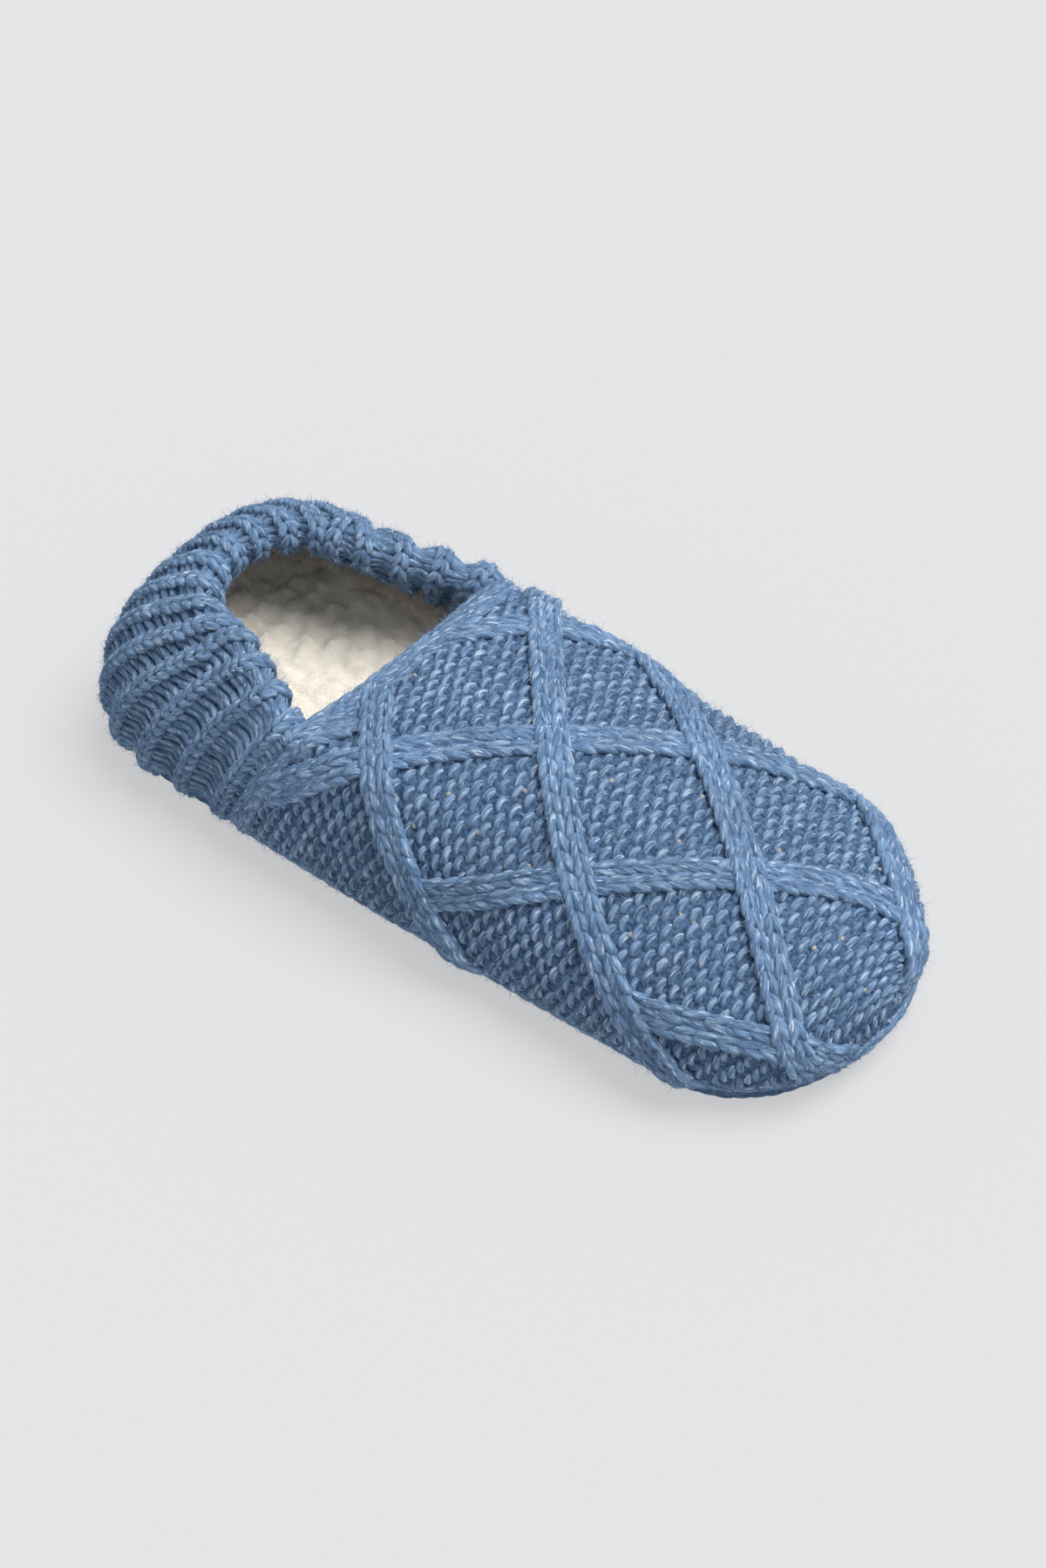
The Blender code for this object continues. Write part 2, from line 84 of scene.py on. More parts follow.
# The knit's edge at the throat runs askew: it lies this much further forward on the medial side
THROAT_SKEW = 7.0

SECTION_COLUMNS = ("along", "lateral", "medial", "inset", "shoulder", "crown", "sole_lateral", "sole_medial")
SECTIONS = np.array((
    (0.000, 0.495, 0.485, 0.095, 0.97, 0.98, 0.060, 0.040),
    (0.185, 0.495, 0.485, 0.095, 0.97, 0.98, 0.075, 0.030),
    (0.325, 0.507, 0.500, 0.095, 0.98, 0.98, 0.085, 0.005),
    (0.450, 0.512, 0.515, 0.110, 0.99, 1.14, 0.090, 0.000),
    (0.600, 0.510, 0.525, 0.140, 0.91, 1.11, 0.090, 0.020),
    (0.740, 0.507, 0.525, 0.145, 0.84, 1.03, 0.080, 0.040),
    (0.880, 0.500, 0.500, 0.150, 0.74, 0.90, 0.060, 0.045),
    (1.000, 0.495, 0.470, 0.150, 0.66, 0.80, 0.040, 0.040),
))

# over is 1 where the band crosses above the others
BAND_COLUMNS = ("crossing", "slope", "bend", "first", "last", "over")
BANDS = (
    (-0.172, -1.60, 1.54, 0.25, 1.00, 1),
    (0.051, -1.12, 0.90, 0.25, 1.00, 1),
    (0.301, -0.80, -0.26, 0.25, 1.00, 1),
    (0.555, -0.90, 0.00, 0.25, 1.00, 1),
    (-0.050, 1.50, 0.00, 0.25, 0.39, 0),
    (-0.164, 1.05, -0.51, 0.25, 1.00, 0),
    (0.098, 0.85, 0.00, 0.25, 1.00, 0),
    (0.363, 0.85, 0.26, 0.508, 1.00, 0),
    (0.586, 1.30, 1.89, 0.78, 1.00, 0),
)
BAND_SPREAD = 2.35
BAND_STITCH = 5.6
BAND_YARN = 1.42
BAND_CORE = 4.3
OVER_LIFT = 1.1
UNDER_LIFT = 0.3

# Towards its ends a band dips this deep into the ground, over this length
BAND_DIP = 3.2
DIP_LENGTH = 10

# The ground of the vamp: purl stitches, in columns half a wale apart that are staggered by half a course
WALE = 8.3
COURSE = 4.3
COURSE_SHIFT = 1.6
PURL_REACH = 2.8
PURL_RISE = 1.55
PURL_SINK = 1.4
PURL_CURL = 0.75
PURL_TILT = -0.02
GROUND_YARN = 1.1
TUFT_TRIES = 34
TUFT_RADII = np.array([0.4, 0.75, 0.9, 0.75, 0.4])

# The stitches shrink towards the toe, from this far before its tip and over this length
SHRINK_START = 34
SHRINK_LENGTH = 24

# Turns of the yarn's twist for each millimetre along it
TWIST = 0.025

# Chains of stitches along the vamp's rear edge: how far to the toe from it, their lift and the yarn's radius
THROAT_CHAINS = ((0.6, -3.4, 1.3), (0.3, -0.9, 1.35), (3.4, 0.35, 1.35), (6.7, 0.45, 1.3))
SEAM_CHAINS = ((0.4, -0.2, 1.35), (3.9, 0.5, 1.4))

# Where the welt above the sole runs, across the vamp
WELT_PLACE = 1.87

# Chains round the sole: their height, inset and radius. The third lies in the groove above the sole
SOLE_CHAINS = ((1.9, 0.5, 1.35), (4.9, 0.9, 1.35), (7.5, 3.0, 1.3))

# The cuff's skin is read at places round it and at levels from the sole over the rim to the hem
CUFF_PLACES = np.linspace(-1, 1, RIB_COUNT * 16 + 1)
CUFF_LEVELS = 90
CUFF_COURSES = 35
RIM_LEVEL = 0.66
HEM_FOLD = 0.26
SEAM_COVER = 1.8
RAKE_SHARE = 0.85
RAKE_BACK = 0.10
CHANNEL_DEPTH = 1.9
RIDGE_RISE = 2.6
BAR_YARN = 1.28
RIDGE_YARN = 1.42

# Chains along the hem: their level and the yarn's radius
HEM_CHAINS = ((0.995, 1.35), (0.965, 1.3))

# Fleece
CURL_SIZE = 5.0
FOOTBED_HEIGHT = 19.0
FOOTBED_RISE = 6.0
FOOTBED_OVERLAP = 3.0
PILE_DEEP = 5.2
PILE_SHALLOW = 1.6
PILE_LEVELS = 58

# Loose fibres: their width, and how many and how long they are on the vamp and the cuff
NAP_WIDTH = 0.11
VAMP_NAP = (49000, 2.0)
CUFF_NAP = (32000, 1.9)

# The photograph's camera, in metres, and the direction of the light
CAMERA_PLACE = Vector((0.5335, -0.6835, 0.9358))
CAMERA_AIM = Vector((0.003, 0.001, 0.026))
CAMERA_LENS = 103
SUN_FROM = Vector((0.40, 0.32, 1.25))

# One seed for all draws. Without it Blender's own noise differs from run to run
SEED = 11
rng = np.random.default_rng(SEED)
noise.seed_set(SEED)


# Surfaces

def column(along, name):
    """A column of SECTIONS at places along the last, by a smooth curve through its rows."""
    k = SECTION_COLUMNS.index(name)
    places, values = SECTIONS[:, 0], SECTIONS[:, k]
    n = len(places)
    along = np.clip(along, 0, 1)
    i = np.clip(np.searchsorted(places, along, side="right") - 1, 0, n - 2)
    before = np.maximum(np.arange(n) - 1, 0)
    after = np.minimum(np.arange(n) + 1, n - 1)
    slope = (values[after] - values[before]) / (places[after] - places[before])
    step = places[i + 1] - places[i]
    s = (along - places[i]) / step
    start = (2 * s ** 3 - 3 * s ** 2 + 1) * values[i] + (s ** 3 - 2 * s ** 2 + s) * step * slope[i]
    end = (3 * s ** 2 - 2 * s ** 3) * values[i + 1] + (s ** 3 - s ** 2) * step * slope[i + 1]
    return start + end


def toe_closing(along, roundness):
    share = np.clip((along - TOE_START) / (1 - TOE_START), 0, 1)
    return np.maximum(1 - share ** roundness, 0) ** (1 / roundness)


def along_to_x(along, depth=0.0):
    along = np.asarray(along, float)
    toe = (1 - TOE_START) * LENGTH - depth
    far = (TOE_START - 0.5) * LENGTH + (along - TOE_START) / (1 - TOE_START) * toe
    return np.where(along <= TOE_START, (along - 0.5) * LENGTH, far)


def toe_lift(x):
    share = (x / LENGTH + 0.5 - SPRING_START) / (1 - SPRING_START)
    return TOE_SPRING * np.clip(share, 0, 1) ** 2


def wall_share(up):
    return np.where(up < BELOW_WIDEST, up / BELOW_WIDEST - 1, (up - BELOW_WIDEST) / (1 - BELOW_WIDEST))


def side_point(share, half, inset, top):
    """Half width and height of the side wall: share is -1 at its foot, 0 where it is widest, 1 at its top."""
    down = np.clip(-share, 0, 1) * TUCK_TURN
    up = np.clip(share, 0, 1) * SHOULDER_TURN
    tuck = TUCK * (1 - np.cos(down)) / (1 - math.cos(TUCK_TURN))
    drop = (WIDEST_HEIGHT - EDGE_HEIGHT) * np.sin(down) / math.sin(TUCK_TURN)
    lean = inset * (1 - np.cos(up)) / (1 - math.cos(SHOULDER_TURN))
    rise = (top - WIDEST_HEIGHT) * np.sin(up) / math.sin(SHOULDER_TURN)
    return half - tuck - lean, WIDEST_HEIGHT - drop + rise


def vamp_point(along, across):
    """Points of the vamp: across is 0 on the crown, 1 at the shoulder and 2 at the foot of the wall."""
    along, across = np.broadcast_arrays(np.asarray(along, float), np.asarray(across, float))
    half = np.where(across < 0, column(along, "lateral"), column(along, "medial")) * BALL_WIDTH
    inset = column(along, "inset") * BALL_WIDTH
    shoulder = column(along, "shoulder") * INSTEP_HEIGHT
    crown = column(along, "crown") * INSTEP_HEIGHT
    far = np.abs(across)
    side_y, side_z = side_point(wall_share(2 - np.maximum(far, 1)), half, inset, shoulder)
    top_z = shoulder + (crown - shoulder) * (1 - np.minimum(far, 1) ** CROWN_FULLNESS)
    y = np.where(far >= 1, side_y, (half - inset) * far)
    z = np.where(far >= 1, side_z, top_z)
    z = np.where(z > WIDEST_HEIGHT, WIDEST_HEIGHT + (z - WIDEST_HEIGHT) * toe_closing(along, TOE_DOME), z)
    x = along_to_x(along)
    return np.stack([x, np.sign(across) * y * toe_closing(along, TOE_ROUNDNESS), z + toe_lift(x)], -1)


def unit(v):
    return v / np.maximum(np.linalg.norm(v, axis=-1, keepdims=True), 1e-9)


def distances(path):
    """How far along a path each of its points lies."""
    return np.concatenate([[0], np.cumsum(np.linalg.norm(np.diff(path, axis=0), axis=-1))])


def vamp_frame(along, across):
    """Points and outward normals of the vamp's surface."""
    along = np.clip(along, 0.2, 0.99998)
    d = np.minimum(0.0015, (1 - along) / 2)
    ahead = vamp_point(along + d, across) - vamp_point(along - d, across)
    over = vamp_point(along, np.clip(across + 0.01, -2, 2)) - vamp_point(along, np.clip(across - 0.01, -2, 2))
    return vamp_point(along, across), unit(np.cross(ahead, over))


def throat_x(across):
    bow = THROAT_BOW * (1 - np.minimum(np.abs(across), 1) ** 2)
    return along_to_x(THROAT) + bow + THROAT_SKEW * (np.clip(across, -1, 1) + 1) / 2


def seam_x(z, side):
    """The seam of the vamp and the cuff at a height; side is above 0 on the medial side."""
    corner = column(THROAT, "shoulder") * INSTEP_HEIGHT
    share = np.clip((corner - z) / (corner - EDGE_HEIGHT), 0, 1)
    skew = np.where(np.asarray(side) > 0, THROAT_SKEW, 0) * (1 - share)
    return along_to_x(THROAT) - SEAM_RAKE * share + skew


def behind_seam(points, across):
    """How far, along X, a point of the vamp lies behind its seam with the cuff or the throat's edge."""
    limit = np.where(np.abs(across) < 1, throat_x(across), seam_x(points[..., 2], across))
    return limit - points[..., 0]


def rear_along(across, setback):
    """Where the vamp's rear edge lies, for places across it; setback moves it to the toe."""
    along = np.full(np.shape(across), THROAT)
    for _ in range(6):
        z = vamp_point(along, across)[..., 2]
        along = (np.where(np.abs(across) < 1, throat_x(across), seam_x(z, across)) + setback) / LENGTH + 0.5
    return along


def map_vamp():
    """A map of the vamp: u runs along it from the throat, and reach over it from the crown, both in mm."""
    toe = TOE_START + (1 - TOE_START) * np.sin(np.linspace(0, 0.996 * math.pi / 2, 170))
    along = np.concatenate([np.linspace(0.2, TOE_START, 300, endpoint=False), toe])
    across = np.linspace(-2, 2, 241)
    points = vamp_point(along[:, None], across[None, :])
    steps = np.linalg.norm(np.diff(points, axis=1), axis=-1)
    reach = np.concatenate([np.zeros((len(along), 1)), np.cumsum(steps, axis=1)], axis=1)
    crown = len(across) // 2
    reach -= reach[:, [crown]]
    rows = points[:, crown + np.array([-100, -60, -30, 0, 30, 60, 100])]
    advance = np.sqrt((np.linalg.norm(np.diff(rows, axis=0), axis=-1) ** 2).mean(1))
    u = np.concatenate([[0], np.cumsum(advance)])
    u -= np.interp(THROAT, along, u)
    return along, across, reach, u


MAP_ALONG, MAP_ACROSS, MAP_REACH, MAP_U = map_vamp()


def vamp_grid(rows, columns, depth, setback, end):
    """A grid of points under the vamp's surface, from its rear edge to a place short of the toe by end."""
    across = np.linspace(-2, 2, columns)
    first = np.interp(rear_along(across, setback), MAP_ALONG, MAP_U)
    share = np.linspace(0, 1, rows)[:, None]
    u = first + (MAP_U[-1] - end - first) * share
    along = np.interp(u, MAP_U, MAP_ALONG)
    points, normal = vamp_frame(along, np.broadcast_to(across, along.shape))
    points = points - normal * depth
    if end == 0:
        points[-1, :, 1] = 0
    return points, normal


def across_of(along, reach):
    """The place across the vamp, at some places along it, of points at a distance from the crown."""
    row = np.clip(np.searchsorted(MAP_ALONG, along) - 1, 0, len(MAP_ALONG) - 2)
    share = (along - MAP_ALONG[row]) / (MAP_ALONG[row + 1] - MAP_ALONG[row])
    out = np.empty(len(along))
    for k in range(len(along)):
        line = MAP_REACH[row[k]] * (1 - share[k]) + MAP_REACH[row[k] + 1] * share[k]
        out[k] = np.interp(reach[k], line, MAP_ACROSS)
    return out


# Meshes

def grid_faces(rows, columns, wrap=False):
    """Quads of a grid of points; wrap joins its last column to its first."""
    i, j = np.meshgrid(np.arange(rows - 1), np.arange(columns if wrap else columns - 1), indexing="ij")
    k = (j + 1) % columns
    corners = [i * columns + j, i * columns + k, (i + 1) * columns + k, (i + 1) * columns + j]
    return np.stack(corners, -1).reshape(-1, 4)


def make_piece(name, points, faces, material, maps=None):
    """A mesh of points in millimetres, as a piece that rides on the root."""
    mesh = bpy.data.meshes.new(name)
    points = np.asarray(points, np.float32) * MM
    faces = np.asarray(faces, np.int32)
    mesh.vertices.add(len(points))
    mesh.vertices.foreach_set("co", points.ravel())
    mesh.loops.add(faces.size)
    mesh.loops.foreach_set("vertex_index", faces.ravel())
    mesh.polygons.add(len(faces))
    mesh.polygons.foreach_set("loop_start", np.arange(0, faces.size, faces.shape[1], dtype=np.int32))
    if maps is not None:
        layer = mesh.uv_layers.new(name="yarn")
        layer.data.foreach_set("uv", np.asarray(maps, np.float32).ravel())
    mesh.update(calc_edges=True)
    mesh.validate()
    mesh.shade_smooth()
    mesh.materials.append(material)
    piece = bpy.data.objects.new(name, mesh)
    bpy.context.scene.collection.objects.link(piece)
    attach(piece, "root")
    return piece


class Yarns:
    """Collects tubes and makes one mesh of them, with a map that runs along and round each yarn."""

    def __init__(self):
        self.points, self.faces, self.maps, self.skins = [], [], [], []
        self.count = 0

    def add(self, path, normal, radius, sides=6, flat=1.0):
        """A tube that thins at its ends; flat squeezes it towards the surface."""
        n = len(path)
        if n < 3:
            return
        radius = np.broadcast_to(np.asarray(radius, float), (n,)).copy()
        radius[[0, -1]] *= 0.3
        tangent = unit(np.gradient(path, axis=0))
        side = unit(np.cross(tangent, normal))
        up = np.cross(side, tangent)
        angle = 2 * math.pi * np.arange(sides) / sides - math.pi / 2
        across, upward = np.cos(angle)[None, :, None], np.sin(angle)[None, :, None]
        ring = across * side[:, None, :] + upward * up[:, None, :] * flat
        outward = ring * radius[:, None, None]
        points = (path[:, None, :] + outward).reshape(-1, 3)
        length = distances(path) + rng.uniform(0, 900)
        i, j = np.meshgrid(np.arange(n - 1), np.arange(sides), indexing="ij")
        corners = [np.stack([length[i + a], (j + b) / sides + length[i + a] * TWIST], -1)
                   for a, b in ((0, 0), (0, 1), (1, 1), (1, 0))]
        self.skins.append((points, unit(outward).reshape(-1, 3),
                           np.repeat(tangent, sides, axis=0), np.repeat(normal, sides, axis=0)))
        self.points.append(points)
        self.faces.append(grid_faces(n, sides, wrap=True) + self.count)
        self.maps.append(np.stack(corners, 2).reshape(-1, 4, 2))
        self.count += n * sides

    def make(self, name, material, slot):
        points, faces, maps = (np.concatenate(parts) for parts in (self.points, self.faces, self.maps))
        return make_piece(name, points, faces, material, maps)

    def skin(self):
        """Points on the yarns, with their outward directions, the yarn's direction and the surface normal."""
        return [np.concatenate(parts) for parts in zip(*self.skins)]


class Ribbon:
    """A line on a surface, read at a distance along it and aside of it."""

    def __init__(self, points, normal):
        length = distances(points)
        self.length = length[-1]
        goal = np.linspace(0, self.length, 400)
        even, turned = (np.stack([np.interp(goal, length, table[:, k]) for k in range(3)], -1)
                        for table in (points, normal))
        self.points, self.normal = even, unit(turned)
        self.side = unit(np.cross(self.normal, unit(np.gradient(self.points, axis=0))))

    def at(self, distance, aside, height):
        place = np.clip(distance / self.length, 0, 1) * (len(self.points) - 1)
        low = np.minimum(place.astype(int), len(self.points) - 2)
        share = (place - low)[:, None]

        def pick(table):
            return table[low] * (1 - share) + table[low + 1] * share

        normal = unit(pick(self.normal))
        return pick(self.points) + pick(self.side) * aside[:, None] + normal * height[:, None], normal

    def dip(self, distance, depth):
        """How far a band sinks towards the ends of its line."""
        near = np.clip(np.minimum(distance, self.length - distance) / DIP_LENGTH, 0, 1)
        return depth * (1 - near) ** 1.5


def chain(yarns, ribbon, width, pitch, height, radius, rise, lean, samples=9, middle=0.0, phase=0.0,
          droop=0.0, dip=0.0):
    """A column of knit stitches: pairs of legs that meet in a V, each over the foot of the next."""
    count = max(int(ribbon.length / pitch), 1)
    step = ribbon.length / count
    s = np.linspace(0, 1, samples)
    arch = np.sin(s * math.pi)
    spread = 0.06 + 0.94 * s ** 0.85
    for k in range(-1, count + 1):
        for side in (-1, 1):
            distance = (k + phase + s * lean) * step
            if distance[-1] < 0.5 or distance[0] > ribbon.length - 0.5:
                continue
            aside = middle + side * (width / 2 - radius * 0.72) * spread
            jitter = rng.uniform(-0.12, 0.12, 2)
            up = height - 0.55 * radius + rise * arch ** 0.7 + jitter[0] - droop * abs(middle)
            path, normal = ribbon.at(distance, aside + jitter[1], up - ribbon.dip(distance, dip))
            inside = (distance > 0) & (distance < ribbon.length)
            if inside.sum() < 3:
                continue
            size = radius * (0.62 + 0.38 * arch ** 0.5) * rng.uniform(0.94, 1.06)
            yarns.add(path[inside], normal[inside], size[inside])


# Materials

def nodes_of(material):
    material.use_nodes = True
    tree = material.node_tree
    return tree, tree.nodes["Principled BSDF"]


def fill(node, inputs):
    for name, value in inputs.items():
        node.inputs[name].default_value = value


def add_node(tree, kind, inputs, **settings):
    """A new node with its settings, and with constants on its inputs by name."""
    node = tree.nodes.new(kind)
    for name, value in settings.items():
        setattr(node, name, value)
    fill(node, inputs)
    return node


def ramp(tree, stops):
    node = tree.nodes.new("ShaderNodeValToRGB")
    while len(node.color_ramp.elements) < len(stops):
        node.color_ramp.elements.new(0.5)
    for element, (place, colour) in zip(node.color_ramp.elements, stops):
        element.position = place
        element.color = (*colour, 1)
    return node


def yarn_noise(tree, place, along, round_it, detail, shift=0.0):
    """Noise that is drawn out along the strand: features along it per millimetre, and round it per turn."""
    scale = add_node(tree, "ShaderNodeMapping",
                     {"Location": (shift, shift * 0.7, 0), "Scale": (along, round_it, 1)})
    spots = add_node(tree, "ShaderNodeTexNoise", {"Scale": 1.0, "Detail": detail, "Roughness": 0.6},
                     noise_dimensions="2D")
    tree.links.new(place.outputs["UV"], scale.inputs["Vector"])
    tree.links.new(scale.outputs["Vector"], spots.inputs["Vector"])
    return spots.outputs["Fac"]


def yarn_material(name, dark, mid, light, fleck_from):
    """Mottled yarn: tones run along the strand with its twist, with pale flecks and a rough surface."""
    material = bpy.data.materials.new(name)
    tree, shader = nodes_of(material)
    link = tree.links.new
    place = add_node(tree, "ShaderNodeUVMap", {}, uv_map="yarn")
    colours = ramp(tree, ((0.28, dark), (0.45, mid), (0.62, light), (0.80, FLECK)))
    share = add_node(tree, "ShaderNodeMapRange", {"From Min": fleck_from, "From Max": fleck_from + 0.11})
    blend = add_node(tree, "ShaderNodeMix", {"B": (*FLECK, 1)}, data_type="RGBA")
    where = add_node(tree, "ShaderNodeTexCoord", {})
    broad = add_node(tree, "ShaderNodeTexNoise", {"Scale": 38, "Detail": 3})
    even = add_node(tree, "ShaderNodeMapRange",
                    {"From Min": 0.3, "From Max": 0.7, "To Min": 0.84, "To Max": 1.14})
    shade = add_node(tree, "ShaderNodeVectorMath", {}, operation="SCALE")
    bump = add_node(tree, "ShaderNodeBump", {"Strength": 1.0, "Distance": 1.2 * MM})
    link(yarn_noise(tree, place, 0.20, 6.0, 5.0), colours.inputs["Fac"])
    link(yarn_noise(tree, place, 0.24, 9.0, 1.0, 31.0), share.inputs["Value"])
    link(share.outputs["Result"], blend.inputs["Factor"])
    link(colours.outputs["Color"], blend.inputs["A"])
    link(where.outputs["Object"], broad.inputs["Vector"])
    link(broad.outputs["Fac"], even.inputs["Value"])
    link(blend.outputs["Result"], shade.inputs[0])
    link(even.outputs["Result"], shade.inputs["Scale"])
    link(shade.outputs["Vector"], shader.inputs["Base Color"])
    link(yarn_noise(tree, place, 0.26, 7.5, 5.0, 57.0), bump.inputs["Height"])
    link(bump.outputs["Normal"], shader.inputs["Normal"])
    fill(shader, {"Roughness": 0.9, "Specular IOR Level": 0.15, "Sheen Weight": 0.15, "Sheen Roughness": 0.6,
                  "Sheen Tint": (0.55, 0.72, 0.95, 1)})
    return material


def plain_material(name, low, high, scale, bump_distance):
    """Cloth of two tones mixed by noise, with a fine bump."""
    material = bpy.data.materials.new(name)
    tree, shader = nodes_of(material)
    link = tree.links.new
    where = add_node(tree, "ShaderNodeTexCoord", {})
    spots = add_node(tree, "ShaderNodeTexNoise", {"Scale": scale, "Detail": 5})
    colours = ramp(tree, ((0.36, low), (0.64, high)))
    fine = add_node(tree, "ShaderNodeTexNoise",
                    {"Scale": scale * 3.5, "Detail": 6, "Roughness": 0.65, "Distortion": 0.8})
    bump = add_node(tree, "ShaderNodeBump", {"Strength": 0.8, "Distance": bump_distance})
    link(where.outputs["Object"], spots.inputs["Vector"])
    link(spots.outputs["Fac"], colours.inputs["Fac"])
    link(colours.outputs["Color"], shader.inputs["Base Color"])
    link(where.outputs["Object"], fine.inputs["Vector"])
    link(fine.outputs["Fac"], bump.inputs["Height"])
    link(bump.outputs["Normal"], shader.inputs["Normal"])
    fill(shader, {"Roughness": 0.95, "Specular IOR Level": 0.2})
    return material


def paint_shade_by_height(material, low, high, least):
    """Painted shade: darken the material's colour between two heights, for the shade under the cuff's fold.
    """
    tree = material.node_tree
    link = tree.links.new
    shader = tree.nodes["Principled BSDF"]
    colour = shader.inputs["Base Color"].links[0].from_socket
    where = add_node(tree, "ShaderNodeTexCoord", {})
    parts = add_node(tree, "ShaderNodeSeparateXYZ", {})
    share = add_node(tree, "ShaderNodeMapRange",
                     {"From Min": low, "From Max": high, "To Min": 1.0, "To Max": least},
                     interpolation_type="SMOOTHSTEP")
    shade = add_node(tree, "ShaderNodeVectorMath", {}, operation="SCALE")
    link(where.outputs["Object"], parts.inputs["Vector"])
    link(parts.outputs["Z"], share.inputs["Value"])
    link(colour, shade.inputs[0])
    link(share.outputs["Result"], shade.inputs["Scale"])
    link(shade.outputs["Vector"], shader.inputs["Base Color"])


FLECK = (0.56, 0.69, 0.84)
lattice_yarn = yarn_material("lattice_yarn", (0.050, 0.105, 0.209), (0.139, 0.243, 0.416),
                             (0.287, 0.418, 0.606), fleck_from=0.62)
band_yarn = yarn_material("band_yarn", (0.063, 0.125, 0.242), (0.138, 0.242, 0.413),
                          (0.230, 0.358, 0.547), fleck_from=0.64)
rib_yarn = yarn_material("rib_yarn", (0.067, 0.133, 0.248), (0.146, 0.253, 0.424),
                         (0.242, 0.373, 0.568), fleck_from=0.65)
sole_yarn = yarn_material("sole_yarn", (0.034, 0.076, 0.152), (0.076, 0.144, 0.266),
                          (0.129, 0.220, 0.365), fleck_from=0.69)
# The knit behind the stitches, darker than the stitches' yarn: partly its own colour, partly painted shade
# for the gaps between the stitches
under_knit = plain_material("under_knit", (0.038, 0.085, 0.180), (0.150, 0.260, 0.440), 800, 1.2 * MM)
fleece = plain_material("fleece_curls", (0.97, 0.885, 0.765), (1.0, 0.945, 0.84), 420, 0.9 * MM)
# Painted shade on the fleece: its colour darkens from 21.5 mm to 31 mm up, for the shade under the cuff's
# fold
paint_shade_by_height(fleece, 21.5 * MM, 31 * MM, 0.36)
# The tufts are the lining's fleece in a darker grey than the lining: painted shade for fleece seen down in
# the holes between the stitches
tuft = plain_material("fleece_tufts", (0.34, 0.34, 0.32), (0.60, 0.58, 0.53), 700, 0.6 * MM)
nap_blue = plain_material("nap_blue", (0.167, 0.289, 0.471), (0.350, 0.486, 0.669), 300, 0.1 * MM)
nap_rib = plain_material("nap_rib", (0.114, 0.213, 0.365), (0.258, 0.380, 0.562), 300, 0.1 * MM)


# The vamp's ground

def purl(halves, u0, s0, slip):
    """One purl stitch: a short bar across the vamp, curled, and raised in its middle."""
    v = np.linspace(-1, 1, 8)
    reach = s0 + PURL_REACH * rng.uniform(0.88, 1.1) * v
    curl = PURL_CURL * rng.uniform(0.7, 1.2) * (0.5 - v ** 2)
    u = u0 + slip * 0.5 - curl + (PURL_TILT + rng.uniform(-0.1, 0.1)) * (reach - s0)
    if u[0] > MAP_U[-1] or u.min() < MAP_U[0]:
        return
    half = 0 if s0 < 0 else 1
    along = np.interp(np.minimum(u, MAP_U[-1]), MAP_U, MAP_ALONG)
    edge = np.interp(along, MAP_ALONG, MAP_REACH[:, -half])
    if np.abs(s0) > np.abs(edge).min() + 1.0:
        return
    across = across_of(along, reach)
    points, normal = vamp_frame(along, across)
    if behind_seam(points, across).max() > -0.8:
        return
    toe = min(max((u0 - MAP_U[-1] + SHRINK_START) / SHRINK_LENGTH, 0), 1)
    arch = np.cos(v * math.pi / 2)
    height = -PURL_SINK + (PURL_RISE - 0.1 * toe) * arch ** 0.8 + rng.uniform(-0.18, 0.18)
    size = GROUND_YARN * (0.7 + 0.3 * arch ** 0.6) * rng.uniform(0.9, 1.1) * (1 - 0.15 * toe)
    halves[half].add(points + normal * height[:, None], normal, size)


def knit_ground():
    """The purl stitches of the vamp, as the yarns of its lateral and of its medial half."""
    halves = (Yarns(), Yarns())
    first = -int(SEAM_RAKE // COURSE) - 1
    last = int(MAP_U[-1] // COURSE) + 1
    for course in range(2 * first, 2 * last):
        line = np.arange(-14, 15) + 0.5 * (course % 2)
        drift = 0.5 * np.sin(line * 1.1 + course * 0.23) + rng.uniform(-0.6, 0.6, len(line))
        reach = line * WALE + 0.35 * np.sin(course * 0.31 + line) + rng.uniform(-0.3, 0.3, len(line))
        for s0, slip in zip(reach, drift):
            purl(halves, course * COURSE / 2 + COURSE_SHIFT, s0, slip)
    return halves


def build_tufts():
    """Tufts of the fleece that show between the stitches of the vamp."""
    yarns = Yarns()
    for _ in range(TUFT_TRIES):
        u0, s0 = rng.uniform(6, MAP_U[-1] - 12), rng.uniform(-52, 30)
        s0 = round(2 * s0 / WALE) * WALE / 2 + WALE / 4
        u0 = round(u0 / COURSE) * COURSE + COURSE_SHIFT + COURSE / 4
        along = np.interp(u0 + np.linspace(-0.8, 0.8, 5), MAP_U, MAP_ALONG)
        across = across_of(along, np.full(5, s0))
        points, normal = vamp_frame(along, across)
        if np.abs(across).max() > 1.8 or behind_seam(points, across).max() > -6:
            continue
        yarns.add(points - normal * 0.05, normal, TUFT_RADII * rng.uniform(0.6, 1.15))
    return yarns.make("vamp_tufts", tuft, "fleece")


def build_ground():
    halves = knit_ground()
    tufts = build_tufts()
    lateral = halves[0].make("vamp_ground_lateral", lattice_yarn, "lattice_knit")
    medial = halves[1].make("vamp_ground_medial", lattice_yarn, "lattice_knit")
    return (lateral, medial, tufts), halves


def build_under_skin():
    """The knit behind the stitches."""
    rows, columns = 130, 121
    points, _ = vamp_grid(rows, columns, depth=0.1, setback=-0.5, end=0)
    faces = grid_faces(rows, columns)
    return make_piece("vamp_under", points.reshape(-1, 3), faces, under_knit)


# The raised bands

def trace(along, reach):
    """The longest stretch of a line on the vamp that keeps clear of its lower edge and of the seams."""
    across = across_of(along, reach)
    points, normal = vamp_frame(along, across)
    keep = (np.abs(across) < 1.95) & (behind_seam(points, across) < -2.5)
    edges = np.flatnonzero(np.diff(np.concatenate([[0], keep.astype(int), [0]])))
    start, end = max(zip(edges[::2], edges[1::2]), key=lambda stretch: stretch[1] - stretch[0])
    return points[start:end], normal[start:end]


